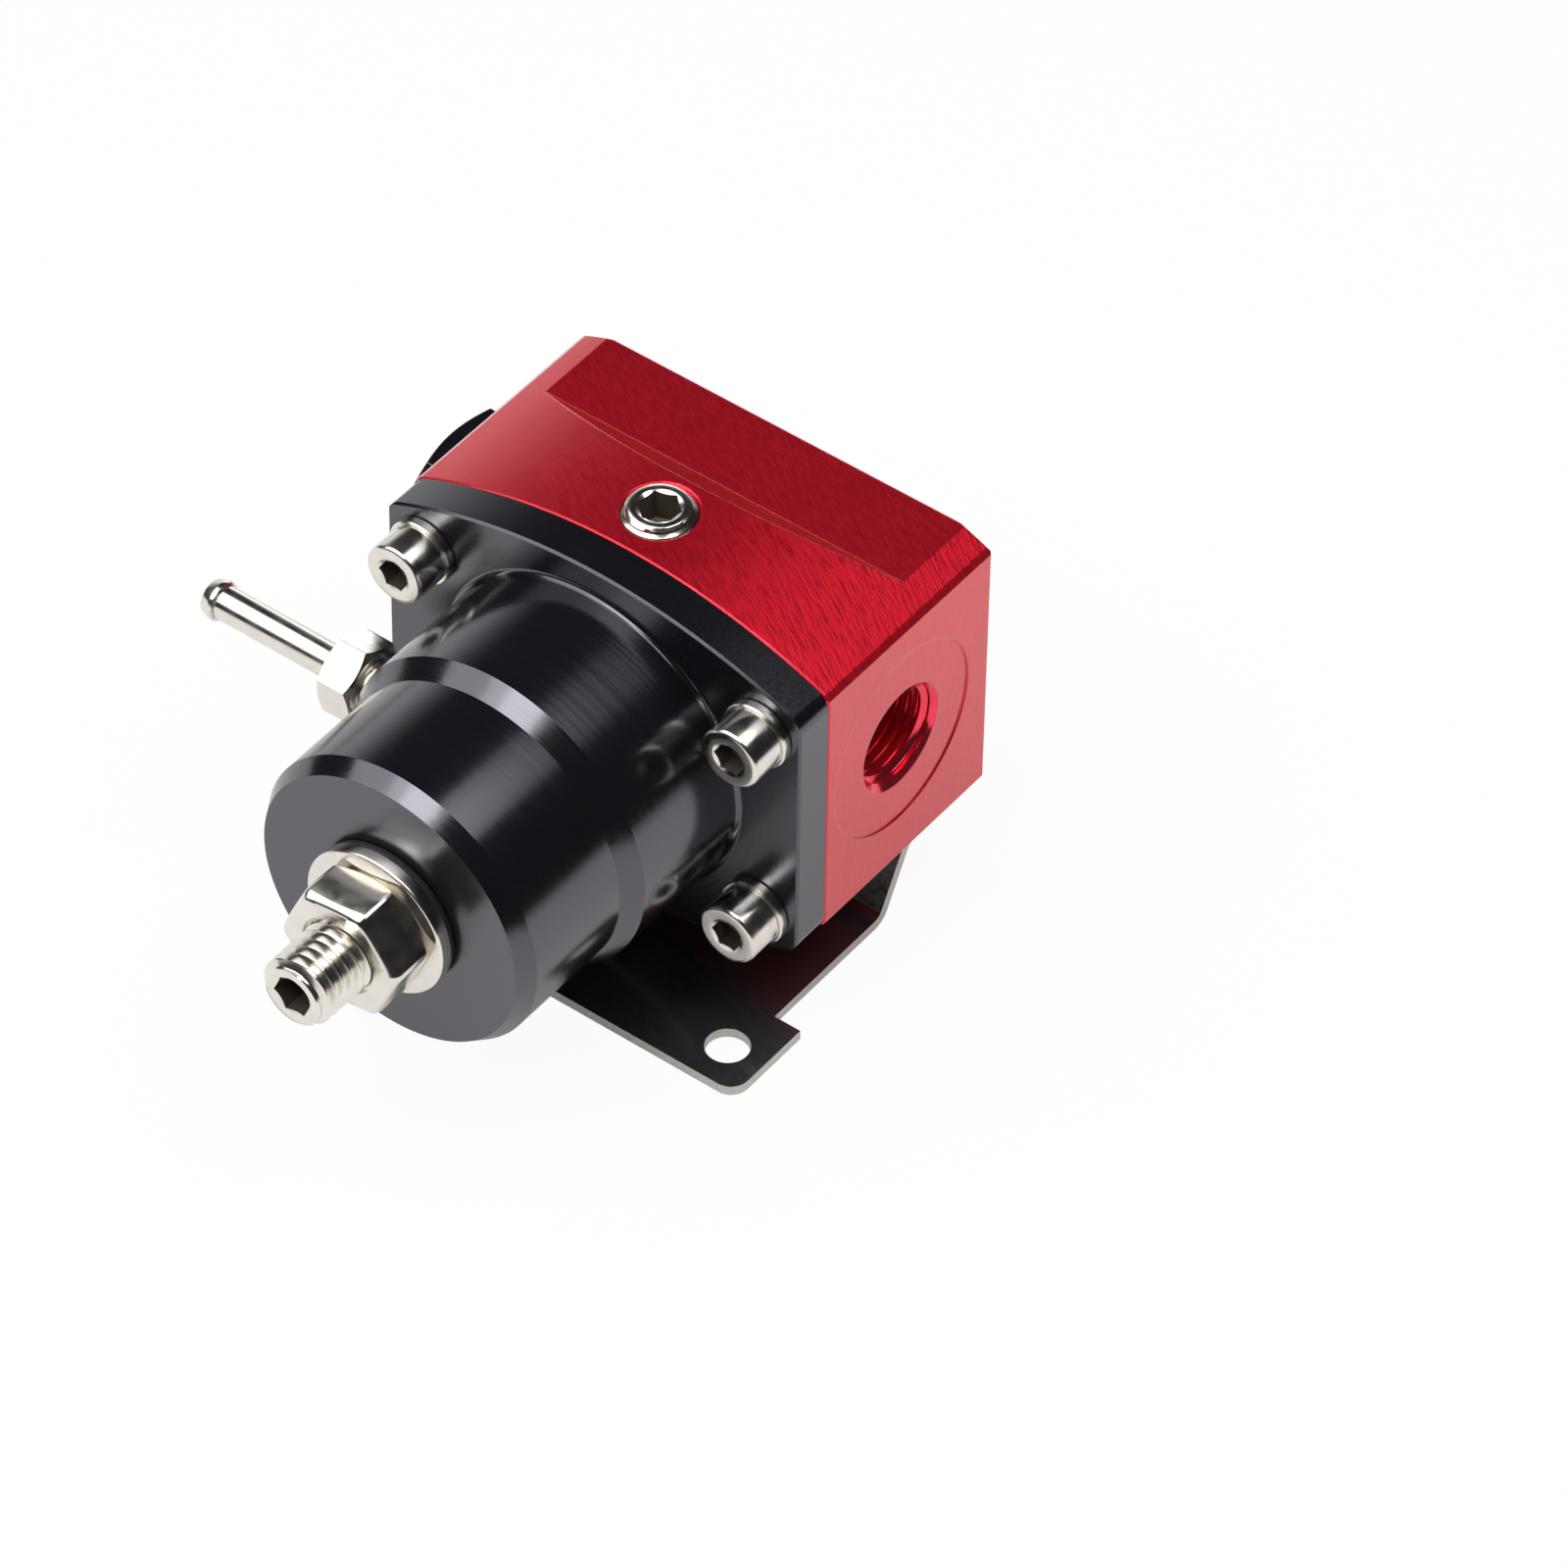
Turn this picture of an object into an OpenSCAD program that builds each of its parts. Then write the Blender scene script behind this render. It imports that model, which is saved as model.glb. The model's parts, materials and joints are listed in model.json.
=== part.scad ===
// Adjustable fuel pressure regulator lying on its bracket.
// The origin is midway between the two bracket holes, on the underside of the bracket plate.
// +X points out of the open side port, +Y towards the return port, +Z up.

/* [Body block] */
// Width over the two flat sides
body_w = 64; // [60:0.5:76]
// Height of the flat sides
side_h = 39.2; // [36:0.2:42]
// Height over the crowned top and bottom, at the middle
crest_h = 53.4; // [51:0.2:60]
// Length of the block behind the bonnet
body_len = 33.4; // [32.4:0.2:42]
// Chamfer round the two ends of the block
end_chamfer = 0.3; // [0.2:0.1:1]
// Chamfer along the corners between sides and crowns
corner_chamfer = 0.4; // [0.2:0.1:1.2]
// Length of the flat milled at the rear of each crown
flat_len = 12.8; // [12:0.2:15]
// Depth of that flat under the crest
flat_drop = 5.3; // [4:0.1:6.4]
// Slope of the ramp between crown and flat, in degrees
ramp_angle = 40; // [32:1:60]

/* [Ports] */
// Diameter of the threaded side and return ports
port_d = 14.3; // [12:0.1:16]
// Depth of each side port
port_depth = 14; // [11:0.5:16]
// Depth of the return port
return_depth = 11; // [8:0.5:12]
// Radial widening of a port's mouth, where its O-ring seals
mouth_flare = 0.45; // [0.3:0.05:1]
// Depth of that mouth
mouth_len = 2.4; // [1.8:0.1:3]
// Diameter of the spot face round a port
spot_d = 27.4; // [24:0.2:30]
// Depth of the spot face
spot_depth = 0.2; // [0.1:0.05:0.5]
// Diameter of the passage from a side port to the gallery
passage_d = 9; // [6:0.5:10]
// Distance of the side ports behind the bonnet
port_back = 15.4; // [14:0.2:17]
// Height of the side ports above the bonnet's axis
port_rise = 1.2; // [0:0.1:2]
// Diameter of the gauge port on the top crown
gauge_d = 9.8; // [8:0.1:11]
// Radial widening of the gauge port's mouth
gauge_flare = 0.4; // [0.2:0.1:0.8]
// Distance of the gauge port behind the bonnet
gauge_back = 7.9; // [7:0.1:10]
// Depth of the gauge port under the crest
gauge_depth = 8; // [6:0.5:9]
// Diameter of the passage from the gauge port to the chamber
gauge_passage_d = 3.5; // [2:0.5:5]

/* [Diaphragm chamber] */
// Diameter of the diaphragm
diaphragm_d = 44; // [40:0.5:48]
// Thickness of the diaphragm
diaphragm_t = 0.8; // [0.6:0.1:1.2]
// Inner radius of the diaphragm's convolution
roll_r = 0.6; // [0.3:0.1:0.8]
// Diameter of the fuel chamber behind the diaphragm
chamber_d = 34; // [33:0.5:37]
// Depth of the fuel chamber
chamber_depth = 6; // [5:0.2:8]
// Diameter of the ring gallery below the chamber
gallery_d = 26; // [23:0.5:30]
// Depth of the gallery from the bonnet
gallery_depth = 20; // [18:0.5:21]
// Diameter of the tower that carries the valve seat
tower_d = 15; // [13.5:0.5:18]
// Outer diameter of the valve seat
seat_d = 11; // [9:0.5:12]
// Length of the valve seat
seat_len = 9; // [7:0.5:12]
// Diameter of the orifice through the seat
orifice_d = 6.4; // [4:0.2:7]
// Width of the sealing lip round the orifice
lip_w = 0.8; // [0.5:0.1:1.2]
// Height of the sealing lip
lip_h = 0.7; // [0.4:0.1:1.2]

/* [Bonnet] */
// Thickness of the flange
flange_t = 5.6; // [4.5:0.1:8]
// Chamfer round the front of the flange
flange_chamfer = 0.3; // [0.2:0.1:1]
// Radius of the flange's corners
flange_corner = 3; // [2:0.1:4.5]
// Diameter of the barrel next to the flange
barrel_d = 45.4; // [44:0.2:48]
// Length of the barrel
barrel_len = 18.5; // [16:0.5:24]
// Fillet between flange and barrel
root_fillet = 0.8; // [0.4:0.1:1.2]
// Length of the tapered step from barrel to nose
step_len = 2.7; // [1.5:0.1:4]
// Diameter of the nose
nose_d = 41.9; // [39:0.1:43]
// Length of the nose
nose_len = 16.1; // [14:0.5:22]
// Length of the bevel round the end of the nose
bevel_len = 2.4; // [1:0.1:3]
// Radial depth of that bevel
bevel_w = 1.4; // [0.6:0.1:2]
// Diameter of the spring chamber
spring_room_d = 33; // [31.4:0.2:35]
// Thickness of the end wall that holds the adjusting screw
end_wall = 8; // [6:0.5:9]

/* [Flange screws] */
// Spacing of the flange screws across the body
bolt_span_x = 52; // [49:0.5:54]
// Spacing of the flange screws in height
bolt_span_z = 30.6; // [28:0.2:33]
// Thread diameter of the flange screws
bolt_d = 5; // [4:0.5:6]
// Length of the flange screws under the head
bolt_len = 16; // [13:1:18]
// Head diameter of the flange screws
bolt_head_d = 8.5; // [7:0.1:9]
// Head height of the flange screws
bolt_head_h = 5; // [4:0.1:6]
// Hex socket of the flange screws, across flats
bolt_socket = 4; // [2.5:0.5:5]
// Depth of that socket
bolt_socket_depth = 2.6; // [1.5:0.1:3.5]
// Outer diameter of the split washers
split_d = 9.4; // [8.7:0.1:10]
// Thickness of the split washers
split_t = 1.4; // [0.8:0.1:2]
// Width of the slit in the split washers
split_slit = 0.8; // [0.4:0.1:1.4]

/* [Adjusting screw] */
// Thread diameter of the adjusting screw
adjust_d = 10; // [8:0.5:11]
// Length of the adjusting screw
adjust_len = 30; // [28:0.5:34]
// Length of the screw that stands out of the jam nut
adjust_out = 8.6; // [6:0.2:9.6]
// Hex socket in the screw, across flats
adjust_socket = 5; // [3:0.5:6]
// Depth of that socket
adjust_socket_depth = 5; // [3:0.5:8]
// Chamfer at both ends of the screw
adjust_chamfer = 0.9; // [0.4:0.1:1.2]
// Jam nut, across flats
nut_af = 16; // [15:0.5:18]
// Thickness of the jam nut
nut_t = 7; // [5:0.2:8]
// Diameter of the washer under the nut
washer_d = 21; // [19:0.5:24]
// Thickness of that washer
washer_t = 2; // [1.2:0.1:2.6]
// Diameter of the seal behind the washer
seal_d = 20.6; // [17:0.2:22]
// Thickness of that seal
seal_t = 0.9; // [0.5:0.1:1.5]

/* [Spring and valve] */
// Outer diameter of the pressure spring
spring_d = 22.6; // [21:0.2:24]
// Wire diameter of the spring
wire_d = 2.6; // [1.8:0.1:3]
// Turns of the spring, with one closed turn at each end
spring_turns = 6.5; // [5:0.5:8]
// Thickness of the spring button's flange
button_t = 3; // [2:0.1:4]
// Depth of the button's seat for the screw's tip
button_seat = 1; // [0.5:0.1:1.5]
// Height of the button's boss inside the spring
button_boss = 2; // [1:0.1:3]
// Thickness of the spring cup's floor and rim
cup_t = 1.6; // [1:0.1:1.8]
// Height of the spring cup's rim above its floor
cup_rim = 3; // [1.5:0.1:5]
// Thickness of the valve plate
plate_t = 2.2; // [1.8:0.1:3]
// Diameter of the stud that clamps the diaphragm
stud_d = 6; // [4:0.5:6.5]
// Nut on the stud, across flats
stud_nut_af = 10; // [8.5:0.5:11]
// Thickness of that nut
stud_nut_t = 4; // [2.5:0.1:5]
// Diameter of the valve disc
valve_d = 10; // [9.4:0.2:12]
// Thickness of the valve disc
valve_t = 1.6; // [1:0.1:2]
// Height of the valve disc above its plate
valve_proud = 0.6; // [0.3:0.1:0.8]

/* [Fittings] */
// Distance of the vacuum nipple in front of the body
nipple_fwd = 16.4; // [13.5:0.2:18]
// Distance of the nipple's free end from the bonnet's axis
nipple_reach = 51.9; // [46:0.5:58]
// Thread diameter of the nipple
nipple_thread_d = 8; // [7.4:0.1:9]
// Hex of the nipple, across flats
nipple_af = 10; // [9.4:0.1:12]
// Length of that hex
nipple_hex_len = 5.2; // [4:0.1:7]
// Length of thread left between barrel and hex
nipple_stand = 3.1; // [2:0.1:4.5]
// Outer diameter of the nipple's tube
tube_d = 4.6; // [4:0.1:5.4]
// Bore of the nipple
tube_bore = 2.6; // [1.5:0.1:3]
// Height of the bead at the tube's end
bead_h = 0.45; // [0.2:0.05:0.8]
// Length of that bead
bead_len = 2.2; // [1.5:0.1:3]
// Height of the gauge plug above the crest
gauge_plug_proud = 0.8; // [0.2:0.1:1.5]
// Length of the gauge plug
gauge_plug_len = 7.5; // [6:0.5:8.5]
// Hex socket of the gauge plug, across flats
gauge_socket = 5; // [3:0.5:6]
// Depth of that socket
gauge_socket_depth = 4.5; // [2.5:0.5:5]
// Hex head of the inlet plug, across flats
plug_af = 22; // [19:0.5:25]
// Length of that head
plug_head_len = 7.2; // [5:0.2:10]
// Length of the inlet plug's thread
plug_thread_len = 9; // [6:0.5:10]
// Section of the inlet plug's O-ring
o_ring_t = 1.9; // [1.5:0.1:2.2]

/* [Bracket] */
// Thickness of the sheet
sheet_t = 1.5; // [1:0.1:2.5]
// Height of the lower flat above the underside of the bracket plate
bracket_rise = 11.6; // [10:0.2:18]
// Distance from the bracket holes back to the bonnet's joint face
hole_to_joint = 14.4; // [10:0.2:17]
// Spacing of the bracket holes
hole_span = 56.4; // [52:0.2:57]
// Diameter of the bracket holes
hole_d = 5.8; // [4.5:0.1:7]
// Distance from the holes to the front edge
front_margin = 5.8; // [5:0.1:8]
// Width of the plate over its ears
ear_w = 67.6; // [65:0.2:72]
// Length of the ears
ear_len = 13.4; // [12:0.2:18]
// Radius of the front corners of the ears
ear_r = 2.6; // [1:0.1:4]
// Width of the neck behind the ears
neck_w = 59.6; // [52:0.2:64]
// Slope of the riser, in degrees
riser_angle = 62; // [45:1:75]
// Inner radius of the bends
bend_r = 1.5; // [1:0.1:2.5]
// Spacing of the screws that hold the bracket
bracket_bolt_span = 32; // [26:0.5:36]
// Thread diameter of those screws
bracket_bolt_d = 5; // [4:0.5:6]
// Length of those screws under the head
bracket_bolt_len = 8; // [6:0.5:10]
// Head diameter of those screws
bracket_head_d = 9.5; // [8:0.1:10]
// Head height of those screws
bracket_head_h = 2.8; // [2:0.1:3.5]
// Hex socket of those screws, across flats
bracket_socket = 3; // [2:0.5:4]
// Depth of that socket
bracket_socket_depth = 1.7; // [1:0.1:2]

/* [Fits] */
// Radial play of a screw in its thread
thread_play = 0.05; // [0.03:0.01:0.1]
// Radial play of a screw in a clearance hole
hole_play = 0.25; // [0.15:0.05:0.4]
// Radial play of pressed and seated pieces
seat_play = 0.03; // [0.02:0.01:0.08]
// Play between the spring's ends and their seats, and beside the spring
spring_play = 0.4; // [0.2:0.05:0.6]
// Gap between the valve disc and its seat at rest
valve_gap = 0.1; // [0.05:0.01:0.2]

/* [Hidden] */
$fn = 64;

red = "#b3121f";
black = "#1b1b1e";
nickel = "#cfcbc2";
steel = "#9a9a9a";
brass = "#b99544";
rubber = "#242424";

cut = 1;                     // overrun of a cutting tool past a face
touch = 0.05;                // gap at the ground ends of the spring
chamfer_angle = 30;          // chamfer of hex nuts, heads and sockets, in degrees
hex_face = 0.94;             // face circle of a chamfered hex, as a share of its width across flats
socket_rim = 0.1;            // reach of a socket's countersink past its corners
bolt_edge = 0.6;             // rounding of the cap screw heads
small_edge = 0.4;            // chamfer of turned pieces
ring_edge = 0.2;             // broken edge of washers and seals
drill_past = 3;              // depth of a tapped hole past its screw
corner_bite = 0.04;          // how far the flange's corner arcs reach past the crown, so that they cross it cleanly
ramp_gap = 0.3;              // gap between the ramp and the bracket's upper bend

// Turn of each piece as it was tightened, in degrees
screw_turn = 8;
nut_turn = 6;
slit_turn = 160;
slit_slant = 20;
nipple_turn = 52;
gauge_turn = 20;
plug_turn = 30;

// Crowned outline
crown_rise = (crest_h - side_h) / 2;
crown_r = (pow(body_w / 2, 2) + pow(crown_rise, 2)) / (2 * crown_rise);
flat_z = crest_h / 2 - flat_drop;
flat_start = body_len - flat_len;

// Place of the bonnet's axis over the bracket
axis_z = bracket_rise + flat_z;
joint_y = hole_to_joint;

// Stations along the bonnet's axis, counted from the joint face
flange_y = -flange_t;
step_y = flange_y - barrel_len;
nose_y = step_y - step_len;
bevel_y = nose_y - nose_len;
end_y = bevel_y - bevel_len;
room_y = end_y + end_wall;
washer_y = end_y - seal_t;
nut_y = washer_y - washer_t;
screw_y = nut_y - nut_t - adjust_out;
tip_y = screw_y + adjust_len;
button_y = tip_y - button_seat;
spring_top_y = button_y + button_t;
cup_y = -cup_t;
plate_y = diaphragm_t;
valve_y = plate_y + plate_t + valve_proud;
seat_y = valve_y + valve_gap;

// Diameters that follow from the fits
cup_bore_d = spring_d + 2 * spring_play;
cup_d = cup_bore_d + 2 * cup_t;
spring_bore_d = spring_d - 2 * wire_d;
roll_mid = (cup_d / 2 + spring_room_d / 2) / 2;
washer_bore_d = adjust_d + 2 * hole_play;
port_tap_d = port_d - 2 * thread_play;
plug_neck_r = (port_tap_d - o_ring_t) / 2;
seat_floor = seat_y + seat_len;

// Bracket heights and bends
joggle = bracket_rise - sheet_t;
bend_sum = 2 * bend_r + sheet_t;
riser_len = (joggle - bend_sum * (1 - cos(riser_angle))) / sin(riser_angle);
riser_run = bend_sum * sin(riser_angle) + riser_len * cos(riser_angle);
tab_y = joint_y + flat_start + (bend_r + sheet_t) * tan(ramp_angle / 2) + ramp_gap;
fold_y = tab_y - riser_run;
tab_end_y = joint_y + body_len;
bracket_bolt_y = (tab_y + tab_end_y) / 2;

module on_axis() translate([0, joint_y, axis_z]) children();

// Revolves a profile of radius over length about the bonnet's axis
module turned() rotate([-90, 0, 0]) rotate_extrude() children();

// Lays a tool that points along +Z into the named direction
module facing_left() rotate([0, -90, 0]) children();
module facing_right() rotate([0, 90, 0]) children();
module facing_rear() rotate([-90, 0, 0]) children();
module facing_front() rotate([90, 0, 0]) children();

module hexagon(af) circle(d = af / cos(30), $fn = 6);

// Hex prism with both ends, or only the far one, chamfered down to a circle
module chamfered_hex(af, h, both = true) {
    corner = af / cos(30) / 2;
    face = af / 2 * hex_face;
    drop = (corner - face) * tan(chamfer_angle);
    near = both ? [[0, 0], [face, 0], [corner, drop]] : [[0, 0], [corner, 0]];
    intersection() {
        linear_extrude(h) hexagon(af);
        rotate_extrude() polygon(concat(near, [[corner, h - drop], [face, h], [0, h]]));
    }
}

// Hex socket with a countersunk edge, cut down from z = 0
module hex_socket(af, depth) {
    rim = af / cos(30) / 2 + socket_rim;
    inner = af / 2 - socket_rim;
    lead = (rim - inner) * tan(chamfer_angle);
    translate([0, 0, -depth]) linear_extrude(depth + cut) hexagon(af);
    translate([0, 0, -lead]) cylinder(r1 = inner, r2 = rim, h = lead);
    cylinder(r = rim, h = cut);
}

// Cylinder from z = 0 up, with chamfered ends
module rod(r, h, low = 0, high = 0) rotate_extrude()
    polygon([[0, 0], [r - low, 0], [r, low], [r, h - high], [r - high, h], [0, h]]);

module at_bolts() for (x = [-1, 1], z = [-1, 1])
    translate([x * bolt_span_x / 2, 0, z * bolt_span_z / 2]) children();

// Outline from the front: straight sides whose corners are rounded into the crown
module round_outline(r) {
    x = body_w / 2 - r;
    z = crest_h / 2 - crown_r + sqrt(pow(crown_r - r + corner_bite, 2) - x * x);
    square([2 * x * crown_r / (crown_r - r), crest_h + 2 * cut], center = true);
    square([body_w, 2 * z], center = true);
    for (i = [-1, 1], k = [-1, 1]) translate([i * x, k * z]) circle(r);
}

// Block with crowned top and bottom between two stations, chamfered at its ends.
// Its corners are chamfered too, or rounded where a radius is given
module crowned_block(y0, y1, c0, c1, corner_r = 0) {
    w = body_w / 2;
    top = crest_h / 2 + cut;
    low = side_h / 2 - corner_chamfer;
    slope = top - low;
    disc = [[0, y0], [crown_r - c0, y0], [crown_r, y0 + c0],
        [crown_r, y1 - c1], [crown_r - c1, y1], [0, y1]];
    half_plan = [[w - c0, y0], [w, y0 + c0], [w, y1 - c1], [w - c1, y1]];
    far_plan = [[c1 - w, y1], [-w, y1 - c1], [-w, y0 + c0], [c0 - w, y0]];
    quarter = [[w, low], [w - slope, top], [slope - w, top], [-w, low]];
    intersection() {
        crown(disc);
        mirror([0, 0, 1]) crown(disc);
        translate([0, 0, -top]) linear_extrude(2 * top) polygon(concat(half_plan, far_plan));
        translate([0, y1, 0]) facing_front() linear_extrude(y1 - y0)
            if (corner_r > 0) round_outline(corner_r);
            else polygon(concat(quarter, [for (i = [3:-1:0]) [quarter[i][0], -quarter[i][1]]]));
    }
}

// Wide disc whose rim is the top crown
module crown(disc) translate([0, 0, crest_h / 2 - crown_r]) turned() polygon(disc);

// Milled flat and its ramp at the rear of the top crown
module rear_flat() {
    top = crest_h / 2 + cut;
    back = body_len + cut;
    rise = top - flat_z;
    side = [[flat_start, flat_z], [back, flat_z], [back, top], [flat_start - rise / tan(ramp_angle), top]];
    translate([-body_w / 2 - cut, 0, 0]) rotate([90, 0, 90]) linear_extrude(body_w + 2 * cut) polygon(side);
}

// Port with spot face and sealing mouth, cut down from z = 0
module port(depth) {
    translate([0, 0, -spot_depth]) cylinder(d = spot_d, h = spot_depth + cut);
    translate([0, 0, -depth]) cylinder(d = port_d, h = depth + cut);
    translate([0, 0, -spot_depth - mouth_len])
        cylinder(d1 = port_d, d2 = port_d + 2 * mouth_flare, h = mouth_len);
}

module side_port() {
    passage_len = body_w / 2 - port_depth - gallery_d / 2 + 2 * cut;
    translate([body_w / 2, port_back, port_rise]) facing_right() {
        port(port_depth);
        translate([0, 0, -port_depth - passage_len]) cylinder(d = passage_d, h = passage_len + cut);
    }
}

// Chamber, gallery round the tower, seat pocket and return port, as one turned tool
module fuel_ways() {
    turned() {
        translate([0, -cut]) square([diaphragm_d / 2 + seat_play, diaphragm_t + cut]);
        square([chamber_d / 2, chamber_depth]);
        translate([tower_d / 2, 0]) square([(gallery_d - tower_d) / 2, gallery_depth]);
        square([seat_d / 2 + seat_play, seat_floor]);
        square([orifice_d / 2, body_len]);
    }
    translate([0, body_len, 0]) facing_rear() port(return_depth);
}

module gauge_port() {
    depth = crest_h / 2 - gauge_depth;
    translate([0, gauge_back, depth]) cylinder(d = gauge_d, h = gauge_depth + cut);
    translate([0, gauge_back, crest_h / 2 - gauge_flare])
        cylinder(d1 = gauge_d, d2 = gauge_d + 2 * gauge_flare, h = gauge_flare);
    translate([0, gauge_back, gallery_d / 2 - cut])
        cylinder(d = gauge_passage_d, h = depth - gallery_d / 2 + 2 * cut);
}

module body() color(red) on_axis() difference() {
    crowned_block(0, body_len, end_chamfer, end_chamfer);
    rear_flat();
    mirror([0, 0, 1]) rear_flat();
    side_port();
    mirror([1, 0, 0]) side_port();
    gauge_port();
    fuel_ways();
    at_bolts() facing_rear() translate([0, 0, -cut])
        cylinder(d = bolt_d + 2 * thread_play, h = bolt_len - flange_t - split_t + drill_past + cut);
    for (x = [-1, 1]) translate([x * bracket_bolt_span / 2, bracket_bolt_y - joint_y, -flat_z - cut])
        cylinder(d = bracket_bolt_d + 2 * thread_play, h = bracket_bolt_len - sheet_t + drill_past + cut);
}

module bonnet_profile() {
    difference() {
        polygon([[0, 0], [barrel_d / 2 + root_fillet, 0], [barrel_d / 2 + root_fillet, flange_y],
            [barrel_d / 2 + root_fillet, flange_y - root_fillet], [barrel_d / 2, flange_y - root_fillet],
            [barrel_d / 2, step_y], [nose_d / 2, nose_y], [nose_d / 2, bevel_y],
            [nose_d / 2 - bevel_w, end_y], [0, end_y]]);
        translate([barrel_d / 2 + root_fillet, flange_y - root_fillet]) circle(root_fillet);
    }
}

module bonnet() color(black) on_axis() difference() {
    union() {
        crowned_block(flange_y, 0, flange_chamfer, 0, flange_corner);
        turned() bonnet_profile();
    }
    turned() {
        translate([0, room_y]) square([spring_room_d / 2, cut - room_y]);
        translate([0, end_y - cut]) square([adjust_d / 2 + thread_play, end_wall + 2 * cut]);
    }
    at_bolts() translate([0, cut, 0]) facing_front()
        cylinder(d = bolt_d + 2 * hole_play, h = flange_t + 2 * cut);
    translate([0, -nipple_fwd, 0]) facing_left()
        cylinder(d = nipple_thread_d + 2 * thread_play, h = barrel_d / 2 + cut);
}

module diaphragm() color(rubber) on_axis() turned() difference() {
    roll = roll_r + diaphragm_t;
    union() {
        translate([stud_d / 2 + seat_play, 0]) square([(diaphragm_d - stud_d) / 2 - seat_play, diaphragm_t]);
        intersection() {
            translate([roll_mid, diaphragm_t]) circle(roll);
            translate([0, -roll]) square([diaphragm_d / 2, roll + diaphragm_t]);
        }
    }
    translate([roll_mid, diaphragm_t]) circle(roll_r);
}

module spring_cup() color(steel) on_axis() turned() difference() {
    polygon([[stud_d / 2 + seat_play, 0], [cup_d / 2, 0], [cup_d / 2, cup_y - cup_rim + small_edge],
        [cup_d / 2 - small_edge, cup_y - cup_rim], [stud_d / 2 + seat_play, cup_y - cup_rim]]);
    translate([0, cup_y - cup_rim - cut]) square([cup_bore_d / 2, cup_rim + cut]);
}

module valve_plate() color(steel) on_axis() difference() {
    stud_y = cup_y - stud_nut_t - 2 * small_edge;
    plate_end = plate_y + plate_t;
    turned() polygon([[0, stud_y], [stud_d / 2 - small_edge, stud_y], [stud_d / 2, stud_y + small_edge],
        [stud_d / 2, plate_y], [cup_d / 2, plate_y], [cup_d / 2, plate_end - small_edge],
        [cup_d / 2 - small_edge, plate_end], [0, plate_end]]);
    turned() translate([0, valve_y - valve_t]) square([valve_d / 2 + seat_play, valve_t]);
}

module diaphragm_nut() color(steel) on_axis() translate([0, cup_y, 0]) facing_front() difference() {
    chamfered_hex(stud_nut_af, stud_nut_t, false);
    translate([0, 0, -cut]) cylinder(d = stud_d + 2 * thread_play, h = stud_nut_t + 2 * cut);
}

module valve_disc() color(nickel) on_axis() translate([0, valve_y - valve_t, 0]) facing_rear()
    rod(valve_d / 2, valve_t);

module valve_seat() color(brass) on_axis() turned() {
    bore = orifice_d / 2;
    polygon([[bore, seat_y], [bore + lip_w, seat_y], [bore + lip_w, seat_y + lip_h],
        [seat_d / 2 - small_edge, seat_y + lip_h], [seat_d / 2, seat_y + lip_h + small_edge],
        [seat_d / 2, seat_floor], [bore, seat_floor]]);
}

// Height of the spring's wire along its length: closed turns at both ends, even pitch between
function coil_height(turn, span) =
    let (active = spring_turns - 2, pitch = (span - 2 * wire_d) / active)
    turn < 1 ? turn * wire_d :
    turn > 1 + active ? span - (spring_turns - turn) * wire_d :
    wire_d + (turn - 1) * pitch;

module main_spring() {
    sides = 8;
    steps = 20;
    mean_r = (spring_d - wire_d) / 2;
    span = cup_y - spring_top_y - 2 * touch;
    rings = ceil(spring_turns * steps);
    points = [for (i = [0:rings], s = [0:sides - 1])
        let (turn = spring_turns * i / rings, a = 360 * turn, b = 360 * s / sides,
            r = mean_r + wire_d / 2 * cos(b))
        [r * cos(a), r * sin(a), coil_height(turn, span) + wire_d / 2 * sin(b)]];
    walls = [for (i = [0:rings - 1], s = [0:sides - 1])
        let (n = (s + 1) % sides)
        [i * sides + s, i * sides + n, (i + 1) * sides + n, (i + 1) * sides + s]];
    low_cap = [for (s = [sides - 1:-1:0]) s];
    high_cap = [for (s = [0:sides - 1]) rings * sides + s];
    color(steel) on_axis() translate([0, spring_top_y + touch, 0]) facing_rear() intersection() {
        polyhedron(points, concat(walls, [low_cap, high_cap]));
        cylinder(d = spring_d + 2 * cut, h = span);
    }
}

module spring_button() color(steel) on_axis() turned() difference() {
    polygon([[0, button_y], [spring_d / 2 - small_edge, button_y], [spring_d / 2, button_y + small_edge],
        [spring_d / 2, spring_top_y], [spring_bore_d / 2 - spring_play, spring_top_y],
        [spring_bore_d / 2 - spring_play, spring_top_y + button_boss - small_edge],
        [spring_bore_d / 2 - spring_play - small_edge, spring_top_y + button_boss],
        [0, spring_top_y + button_boss]]);
    translate([0, button_y - cut]) square([adjust_d / 2 + hole_play, button_seat + cut]);
}

module adjusting_screw() color(nickel) on_axis() difference() {
    translate([0, screw_y, 0]) facing_rear() rod(adjust_d / 2, adjust_len, adjust_chamfer, adjust_chamfer);
    translate([0, screw_y, 0]) facing_front() rotate(screw_turn)
        hex_socket(adjust_socket, adjust_socket_depth);
}

module jam_nut() color(nickel) on_axis() translate([0, nut_y, 0]) facing_front() difference() {
    rotate(nut_turn) chamfered_hex(nut_af, nut_t);
    translate([0, 0, -cut]) cylinder(d = adjust_d + 2 * thread_play, h = nut_t + 2 * cut);
}

module ring(outer_d, inner_d, h) difference() {
    rod(outer_d / 2, h, ring_edge, ring_edge);
    translate([0, 0, -cut]) cylinder(d = inner_d, h = h + 2 * cut);
}

module nut_washer() color(nickel) on_axis() translate([0, washer_y, 0]) facing_front()
    ring(washer_d, washer_bore_d, washer_t);

module nut_seal() color(rubber) on_axis() translate([0, end_y, 0]) facing_front()
    ring(seal_d, washer_bore_d, seal_t);

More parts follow.
